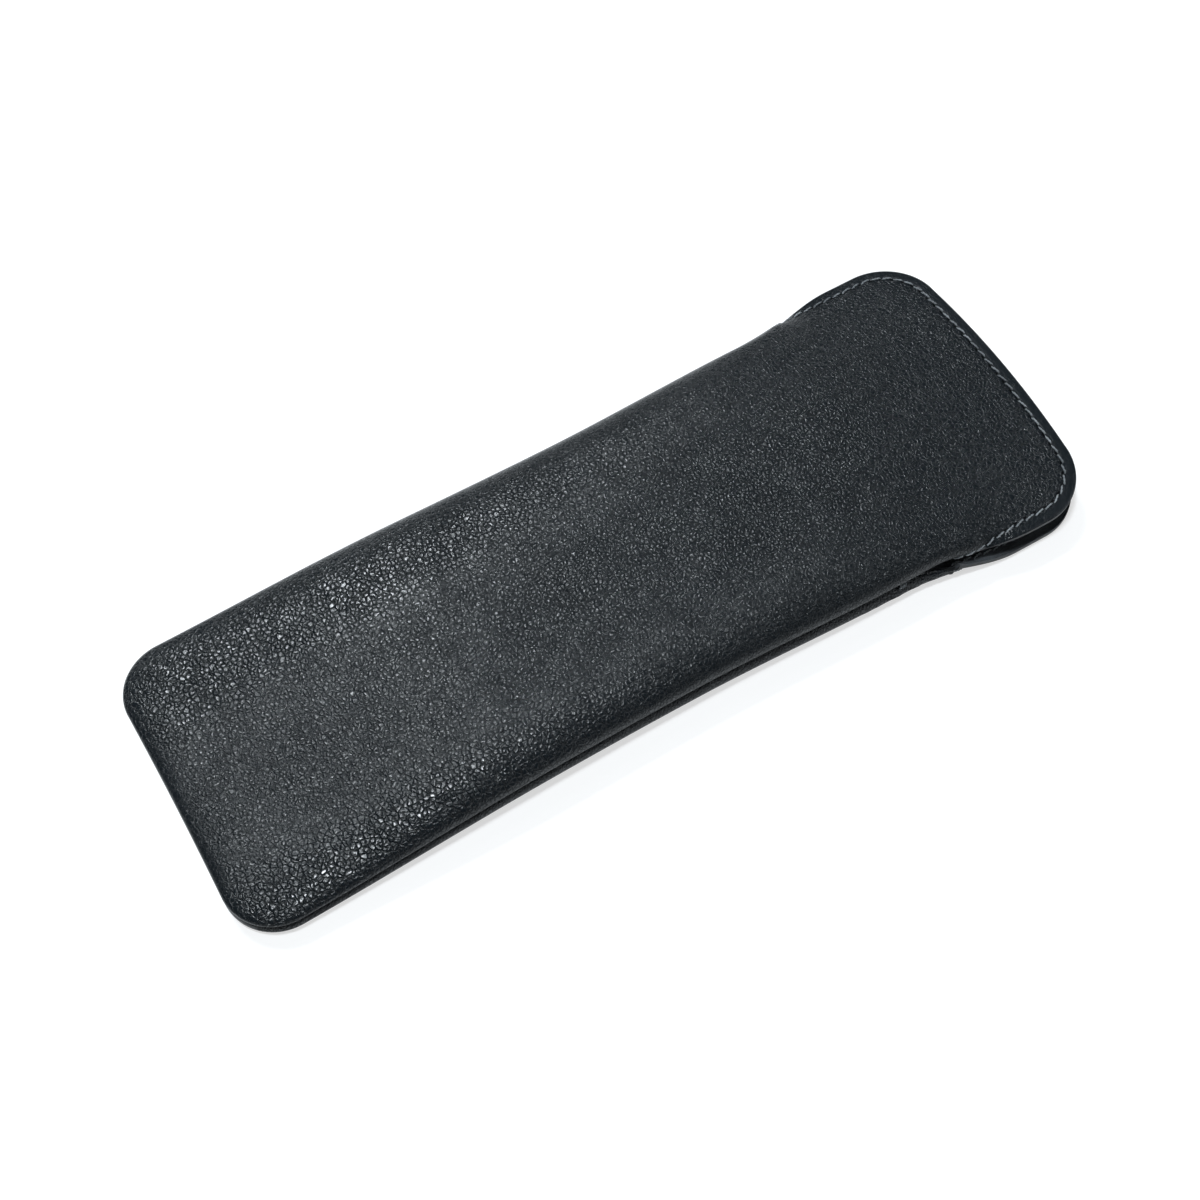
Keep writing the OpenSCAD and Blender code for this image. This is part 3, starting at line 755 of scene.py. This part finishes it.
# %% Needle holes in the leather
# Half the length and half the width of a hole, and its depth, in millimetres
HOLE_LONG, HOLE_WIDE, HOLE_DEPTH = 0.75, 0.26, 0.25
from_line = add(tree, "ShaderNodeSeparateXYZ", {}, {"Vector": stitches})
from_hole = add(tree, "ShaderNodeMath", {"operation": "PINGPONG"},
                {0: from_line.outputs["X"], 1: 0.5}, 0)
along = add(tree, "ShaderNodeMath", {"operation": "MULTIPLY"},
            {0: from_hole, 1: STITCH_PITCH / HOLE_LONG}, 0)
across = add(tree, "ShaderNodeMath", {"operation": "MULTIPLY"},
             {0: from_line.outputs["Y"], 1: 1 / HOLE_WIDE}, 0)
oval = add(tree, "ShaderNodeCombineXYZ", {}, {"X": along, "Y": across}, 0)
spread = add(tree, "ShaderNodeVectorMath", {"operation": "LENGTH"}, {0: oval}, "Value")
# A hole dents the relief, and its share also paints shade into the leather's colour below
hole = add(tree, "ShaderNodeMapRange", {"interpolation_type": "SMOOTHSTEP"},
           {"Value": spread, "From Min": 0.45, "From Max": 1.0, "To Min": 1.0, "To Max": 0.0},
           "Result")
height = add(tree, "ShaderNodeMath", {"operation": "MULTIPLY_ADD"},
             {0: hole, 1: -HOLE_DEPTH, 2: surface}, 0)
bump = add(tree, "ShaderNodeBump", {}, {"Strength": 1.0, "Distance": MM, "Height": height},
           "Normal")

# %% Colour and gloss of the leather
# The dyed tops are charcoal and glossy. The creases and needle holes get painted shade: their
# colour is mixed towards near black, and the same share makes them dull
CREASE_SHADE = 0.9
low = add(tree, "ShaderNodeMath", {"operation": "SUBTRACT"}, {0: 1.0, 1: top}, 0)
crease_shade_share = add(tree, "ShaderNodeMath", {"operation": "MULTIPLY"}, {0: low, 1: strength}, 0)
shade = add(tree, "ShaderNodeMath", {"operation": "MULTIPLY"}, {0: crease_shade_share, 1: CREASE_SHADE}, 0)
painted_shade = add(tree, "ShaderNodeMath", {"operation": "MAXIMUM"}, {0: shade, 1: hole}, 0)
tone = add(tree, "ShaderNodeMix", {"data_type": "RGBA"},
           {"Factor": painted_shade, "A": linear("#13181c"), "B": linear("#030405")}, "Result")
rough = add(tree, "ShaderNodeMapRange", {}, {"Value": painted_shade, "To Min": 0.2, "To Max": 0.6},
            "Result")
gloss = add(tree, "ShaderNodeMapRange", {}, {"Value": painted_shade, "To Min": 0.5, "To Max": 0.05},
            "Result")
shader = add(tree, "ShaderNodeBsdfPrincipled", {}, {
    "Base Color": tone, "Roughness": rough, "IOR": 1.48, "Specular IOR Level": gloss,
    "Normal": bump}, 0)
add(tree, "ShaderNodeOutputMaterial", {}, {"Surface": shader})
print(leather.name, "has", len(tree.nodes), "nodes")

# %% [markdown]
# ### Flesh side and cut edge, lining, padding and thread
# The flesh side of leather is a short matt nap, and its cut edge is dyed and burnished. The
# lining is a thin microfibre suede, the padding a soft foam, and the thread a two-ply
# polyester. All four are fine fibres or cells that scatter light, with soft darker patches.
# Real fibres are a few hundredths of a millimetre thick, too fine to show in a render, so they
# are drawn as coarse as 0.1 to 0.4 mm.

# %% Napped and foamed stuffs
NAP_PATCH_MM = 6


def napped_material(name, colour, light, fibre_mm, roughness, relief_mm):
    """A matt stuff with a short nap or fine cells: its fibres scatter light at the rim."""
    material, tree = new_material(name)
    place = add(tree, "ShaderNodeTexCoord", {}, {}, "Object")
    nap = add(tree, "ShaderNodeTexNoise", {},
              {"Vector": place, "Scale": 1 / (fibre_mm * MM), "Detail": 4.0, "Roughness": 0.65},
              "Fac")
    patch = add(tree, "ShaderNodeTexNoise", {},
                {"Vector": place, "Scale": 1 / (NAP_PATCH_MM * MM), "Detail": 2.0}, "Fac")
    blend = add(tree, "ShaderNodeMath", {"operation": "MULTIPLY"}, {0: nap, 1: patch}, 0)
    share = add(tree, "ShaderNodeMapRange", {"interpolation_type": "SMOOTHSTEP"},
                {"Value": blend, "From Min": 0.12, "From Max": 0.42}, "Result")
    tone = add(tree, "ShaderNodeMix", {"data_type": "RGBA"},
               {"Factor": share, "A": linear(colour), "B": linear(light)}, "Result")
    bump = add(tree, "ShaderNodeBump", {},
               {"Strength": 0.8, "Distance": relief_mm * MM, "Height": nap}, "Normal")
    shader = add(tree, "ShaderNodeBsdfPrincipled", {}, {
        "Base Color": tone, "Roughness": roughness, "IOR": 1.5,
        "Sheen Weight": 0.15, "Sheen Roughness": 0.5, "Normal": bump}, 0)
    add(tree, "ShaderNodeOutputMaterial", {}, {"Surface": shader})
    return material


flesh = napped_material("leather_flesh_side_and_dyed_edge", "#0e0f10", "#1c1e20", 0.25, 0.6, 0.04)
suede = napped_material("microfibre_suede_lining", "#24272a", "#41464a", 0.3, 0.8, 0.06)
foam = napped_material("polyurethane_foam_padding", "#77797c", "#9a9c9e", 0.4, 0.95, 0.1)
yarn = napped_material("polyester_sewing_thread_grey", "#565a5e", "#a0a5a9", 0.1, 0.45, 0.03)
for made in (flesh, suede, foam, yarn):
    print(made.name, "has", len(made.node_tree.nodes), "nodes")

# %% [markdown]
# ## Where the grain is coarse
# Milled grain is not the same all over. It is coarsest at the closed end and along the two
# shoulders, where the hide was slack, and fine towards the mouth. Where the leather was skived
# and turned, and along the lips outside their stitches, it was pressed nearly smooth. Each
# point of the panel keeps two values that say so, because the real change is gradual.

# %% Coarseness and relief of the grain
# Values at some distances in millimetres from the closed end
COARSE_MIDDLE = [0, 50, 100, 140], [0.5, 0.35, 0.1, 0.0]
COARSE_SHOULDER = [0, 60, 110, 130], [0.8, 0.75, 0.5, 0.1]
RELIEF_ALONG = [0, 60, 120, 140, 158], [1.0, 0.95, 0.95, 0.8, 0.55]
# The coarse bands: how far over the leather they are from the seam, and half their width
RIGHT_BAND, LEFT_BAND = (8.5, 6), (13, 9)
ROLL_RELIEF, MARGIN_RELIEF = 0.3, 0.35
band_at, band_half = (np.where(ON_RIGHT, *pair) for pair in zip(RIGHT_BAND, LEFT_BAND))
band = np.exp(-((ARC - band_at) / band_half) ** 2)
coarse = np.interp(ROW_AT, *COARSE_MIDDLE) + band * np.interp(ROW_AT, *COARSE_SHOULDER)
GRAIN = np.clip(coarse, 0, 1)

# Pressed smooth where it turns in on the left and at the closed end, but not on the right
turned_in = (~ON_RIGHT | (I < K)) & (ROW_AT < NECK + 8)
at_roll = np.where(turned_in, mix(ROLL_RELIEF, 1, ease((EDGE_RING - 3.2) / 2.2)), 1)
from_stitches = ease((LIP_DISTANCE - STITCH_MARGIN + 0.8) / 2)
at_margin = np.where(I > NECK_ROW, mix(MARGIN_RELIEF, 1, from_stitches), 1)
RELIEF = np.interp(ROW_AT, *RELIEF_ALONG) * at_roll * at_margin
print("mean coarseness", round(float(GRAIN.mean()), 2), "and relief", round(float(RELIEF.mean()), 2))

# %% [markdown]
# ## The layers of each side
# Each side of the sleeve is a sandwich: leather outside, foam in the middle and suede lining
# inside. Each layer is a closed sheet between two nets, a few hundredths of a millimetre clear
# of the next one.

# %% Panels, linings and paddings
GAP = 0.015
inner_faces = {}


def dressed(made, materials, node):
    """Gives a piece its materials, hangs it on the root body, and hides the CAD part it stands for.
    """
    for material in materials:
        made.data.materials.append(material)
    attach(made, "root")
    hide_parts(node)
    return made


for side_name, face, out, up_side in (
        ("front", front_face, front_out, 1), ("back", back_face, back_out, -1)):
    flesh_face = under(face, out, LEATHER_DEPTH)
    pad_face = under(face, out, LEATHER_DEPTH + PADDING_DEPTH)
    inner_faces[side_name] = under(face, out, LEATHER_DEPTH + PADDING_DEPTH + LINING)
    panel, used = sheet(side_name + "_leather_panel", face, flesh_face, "leather", up_side)
    store(panel, used, "hide", "FLOAT_VECTOR", hide_place(face))
    store(panel, used, "grain", "FLOAT", GRAIN)
    store(panel, used, "relief", "FLOAT", RELIEF)
    store(panel, used, "stitches", "FLOAT_VECTOR", stitch_place(face, out))
    dressed(panel, [leather, flesh], side_name + "_panel")
    slots = np.ones(len(panel.data.polygons), np.int32)
    slots[:panel["grain_cells"]] = 0
    panel.data.polygons.foreach_set("material_index", slots)

    lining, _ = sheet(side_name + "_suede_lining", under(pad_face, out, GAP),
                      inner_faces[side_name], "lining", up_side)
    dressed(lining, [suede], side_name + "_lining")

    pad, _ = sheet(side_name + "_foam_padding", under(flesh_face, out, GAP),
                   under(pad_face, out, -GAP), "padding", up_side)
    dressed(pad, [foam], side_name + "_padding")

    print(side_name, "panel has", len(panel.data.vertices), "points")

# %% [markdown]
# ## Thread
# Sewing thread is two yarns twisted round each other. Each stitch dives into a hole at both
# ends and lies slightly aslant between them, because a lockstitch pulls to one side. It could
# be a texture, but real twisted strands catch the light as the thread in the photograph does.

# %% Twisted strands
# Distance of a yarn from the thread's middle, and its radius, in millimetres
PLY_OFFSET, PLY_RADIUS, TWIST_SEED = 0.09, 0.082, 21


def strands(name, paths, normals, sides, twist=1.5, facets=7):
    """Two-ply thread along many short paths, shape (n, m, 3), as one mesh."""
    n, m, _ = paths.shape
    t = np.linspace(0, 1, m)[None, :, None]
    start = np.random.default_rng(TWIST_SEED).uniform(0, 2 * np.pi, (n, 1, 1))
    ring = np.linspace(0, 2 * np.pi, facets, endpoint=False)[None, None, :, None]
    points, faces, count = [], [], 0
    for ply in (0, np.pi):
        angle = 2 * np.pi * twist * t + ply + start
        centre = paths + PLY_OFFSET * (np.cos(angle) * normals + np.sin(angle) * sides)
        along = unit(np.gradient(centre, axis=1))
        a = unit(np.cross(along, normals))
        b = np.cross(along, a)
        wall = centre[:, :, None] + PLY_RADIUS * (
            np.cos(ring) * a[:, :, None] + np.sin(ring) * b[:, :, None])
        points.append(wall.reshape(-1, 3))
        index = count + np.arange(n * m * facets).reshape(n, m, facets)
        count += n * m * facets
        p, q = index[:, :-1], index[:, 1:]
        quads = np.stack([p, np.roll(p, -1, 2), np.roll(q, -1, 2), q], -1).reshape(-1, 4)
        faces += quads.tolist()
        faces += index[:, 0, ::-1].tolist() + index[:, -1].tolist()
    return mesh_object(name, np.concatenate(points), faces, 80)


def stitch_paths(hole, direction, lift, slant, dive, seed, samples=17):
    """Paths of the stitches between neighbouring holes, with their frames."""
    a, b = hole[:-1, None], hole[1:, None]
    t = np.linspace(0, 1, samples)[None, :, None]
    normal = unit(mix(direction[:-1, None], direction[1:, None], t))
    side = unit(np.cross(unit(b - a), normal))
    random = np.random.default_rng(seed)
    slant = slant * random.uniform(0.5, 1.5, (len(a), 1, 1))
    arch = 1 - np.abs(2 * t - 1) ** 4
    height = -dive + (lift + dive) * arch * random.uniform(0.75, 1.2, (len(a), 1, 1))
    # A stitch ends just short of its holes' middles
    path = mix(a, b, mix(0.03, 0.97, t)) + height * normal + slant * (0.5 - t) * side
    return path, np.broadcast_to(normal, path.shape), np.broadcast_to(side, path.shape)


# %% Rows of stitches on the lips
# For each row: how high its stitches stand, how deep they dive, and its own seed
LIP_SLANT = 0.42
for name, face, out, node, lift, dive, seed in (
        ("front_lip_needle_thread", front_face, front_out,
         "front_lip_top_thread", 0.15, 0.22, 1),
        ("front_lip_bobbin_thread_row", inner_faces["front"], -front_out,
         "front_lip_bobbin_thread", 0.12, 0.15, 2),
        ("back_lip_needle_thread", back_face, back_out,
         "back_lip_top_thread", 0.12, 0.22, 3),
        ("back_lip_bobbin_thread_row", inner_faces["back"], -back_out,
         "back_lip_bobbin_thread", 0.14, 0.15, 4)):
    holes, outwards, *_ = lip_holes(face, out)
    path, normal, side = stitch_paths(holes, outwards, lift, LIP_SLANT, dive, seed)
    dressed(strands(name, path, normal, side), [yarn], node)
    print(name, "has", len(path), "stitches")

# %% [markdown]
# ## The closing seam and its bar tacks
# The side seam is sewn inside, on the turned-in allowance, and can't be seen. Where it stops,
# a few turns of thread across the groove keep it from tearing when the lips are pulled apart.

# %% Seam stitches on the allowance
SEAM_RING, SEAM_LIFT, SEAM_SLANT, SEAM_SEED = 0.5, 0.2, 0.1, 5
seam_line = line_round(NECK_ROW, SEAM_RING, SEAM_RING, 900, 500)
for name, face, out, node in (
        ("seam_needle_thread", front_face, front_out, "seam_top_thread"),
        ("seam_bobbin_thread_row", back_face, back_out, "seam_bobbin_thread")):
    line = net_values(*seam_line, under(face, out, LEATHER_DEPTH))
    holes, outwards, _ = holes_along(line, -net_values(*seam_line, out), SEAM_PITCH)
    path, normal, side = stitch_paths(holes, outwards, SEAM_LIFT, SEAM_SLANT, 0.0, SEAM_SEED)
    dressed(strands(name, path, normal, side), [yarn], node)
    print(name, "has", len(path), "stitches")

# %% Bar tacks
TACK_TURNS, TACK_OUT, TACK_BOW, TACK_SLANT = 3, 0.03, 0.3, 0.15
for tack_name, side_sign in (("left_bar_tack", 1), ("right_bar_tack", -1)):
    low, high = (np.array(corner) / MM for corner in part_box(tack_name))
    x = low[0] + (np.arange(TACK_TURNS) + 0.5) * (high[0] - low[0]) / TACK_TURNS
    t = np.linspace(-1, 1, 17)
    z = (low[2] + high[2]) / 2 + t * (high[2] - low[2]) / 2
    middle = (abs(low[1]) + abs(high[1])) / 2
    y = side_sign * (middle + TACK_OUT - TACK_BOW * np.abs(t) ** 3)
    path = np.stack(np.broadcast_arrays(x[:, None] + TACK_SLANT * t, y, z), -1)
    normal = np.broadcast_to(np.array([0, side_sign, 0.0]), path.shape)
    side = np.broadcast_to(np.array([1.0, 0, 0]), path.shape)
    tack = strands(tack_name + "_thread", path, normal, side, twist=1.0)
    dressed(tack, [yarn], tack_name)
    print(tack_name, "is", round(float(high[2] - low[2]), 2), "mm high")

# %% [markdown]
# ## Floor and light
# The sleeve lies on a white table in soft light. The key light stands behind it, a little above
# half height, so that its reflection runs along the far shoulder. A small lamp hangs nearly
# overhead, towards the closed end, and draws the bright line of the near shoulder. A large dim
# one keeps the flat top from going black, and a low dim one reaches in between the lips. Near
# the sleeve the camera sees half of the table's own light and half plain white, so that a soft
# shadow stays. Further off the table fades into the white of the room.

# %% Floor
FLOOR_HALF, FLOOR_BELOW = 4.0, 0.00002
FADE_FROM, FADE_TO, LEAST_WHITE, WHITE_LIGHT = 0.16, 0.45, 0.5, 1.25
corners = [(x * FLOOR_HALF, y * FLOOR_HALF, -FLOOR_BELOW)
           for x, y in ((-1, -1), (1, -1), (1, 1), (-1, 1))]
floor_mesh = bpy.data.meshes.new("floor")
floor_mesh.from_pydata(corners, [], [(0, 1, 2, 3)])
floor = bpy.data.objects.new("floor", floor_mesh)
bpy.context.scene.collection.objects.link(floor)
floor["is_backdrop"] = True
# White paper board scatters light evenly, so the eye sees no gloss and only a soft shadow
paper, tree = new_material("matt_white_paper_table")
rays = add(tree, "ShaderNodeLightPath")
spot = add(tree, "ShaderNodeTexCoord", {}, {}, "Object")
distance = add(tree, "ShaderNodeVectorMath", {"operation": "LENGTH"}, {0: spot}, "Value")
far = add(tree, "ShaderNodeMapRange", {"interpolation_type": "SMOOTHSTEP"},
          {"Value": distance, "From Min": FADE_FROM, "From Max": FADE_TO, "To Min": LEAST_WHITE},
          "Result")
fade = add(tree, "ShaderNodeMath", {"operation": "MULTIPLY"},
           {0: far, 1: rays.outputs["Is Camera Ray"]}, 0)
board = add(tree, "ShaderNodeBsdfDiffuse", {}, {"Color": linear("#f4f4f4")}, 0)
haze = add(tree, "ShaderNodeEmission", {}, {"Color": (1, 1, 1, 1), "Strength": WHITE_LIGHT}, 0)
both = add(tree, "ShaderNodeMixShader", {}, {0: fade, 1: board, 2: haze}, 0)
add(tree, "ShaderNodeOutputMaterial", {}, {"Surface": both})
floor_mesh.materials.append(paper)
print("the table is", 2 * FLOOR_HALF, "m wide")

# %% Lamps
# The lamps are a little cool, as daylight from a window is
LAMP_COLOUR = (0.9, 0.96, 1.0)


def soft_lamp(name, azimuth, elevation, distance, width, height, watts):
    """A soft box that faces the sleeve. Azimuth is in degrees from +Y towards +X."""
    a, e = math.radians(azimuth), math.radians(elevation)
    toward = Vector((math.sin(a) * math.cos(e), math.cos(a) * math.cos(e), math.sin(e)))
    data = bpy.data.lights.new(name, "AREA")
    data.shape = "RECTANGLE"
    data.size, data.size_y, data.energy = width, height, watts
    data.color = LAMP_COLOUR
    lamp = bpy.data.objects.new(name, data)
    lamp.location = toward * distance
    lamp.rotation_mode = "QUATERNION"
    lamp.rotation_quaternion = toward.to_track_quat("Z", "Y")
    bpy.context.scene.collection.objects.link(lamp)
    print(name, "gives", watts, "W from", elevation, "degrees up")


# Azimuth and elevation in degrees, distance, width and height in metres, and power in watts
soft_lamp("key_behind", -2, 54, 1.2, 0.4, 0.18, 10)
soft_lamp("top_over_closed_end", -100, 81, 1.2, 0.15, 0.15, 9.5)
soft_lamp("overhead_fill", 33, 62, 1.5, 0.5, 0.5, 1.3)
soft_lamp("low_light_at_the_mouth", 118, 36, 1.2, 0.4, 0.3, 1.6)

# %% The room
# The camera sees a white room, and the sleeve sees a dim one that leaves its flanks dark
ROOM_DIM, ROOM_WHITE = 0.03, 1.0
world = bpy.data.worlds.new("studio")
bpy.context.scene.world = world
world.use_nodes = True
tree = world.node_tree
tree.nodes.clear()
rays = add(tree, "ShaderNodeLightPath")
room_light = add(tree, "ShaderNodeMapRange", {}, {
    "Value": rays.outputs["Is Camera Ray"], "To Min": ROOM_DIM, "To Max": ROOM_WHITE}, "Result")
room = add(tree, "ShaderNodeBackground", {}, {"Color": (1, 1, 1, 1), "Strength": room_light}, 0)
add(tree, "ShaderNodeOutputWorld", {}, {"Surface": room})
bpy.context.scene.view_settings.view_transform = "Standard"
print("view transform:", bpy.context.scene.view_settings.view_transform)

# %% Write the sizes and finish
low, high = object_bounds()
print("visual box in mm:", [round(v / MM, 2) for v in (*low, *high)])
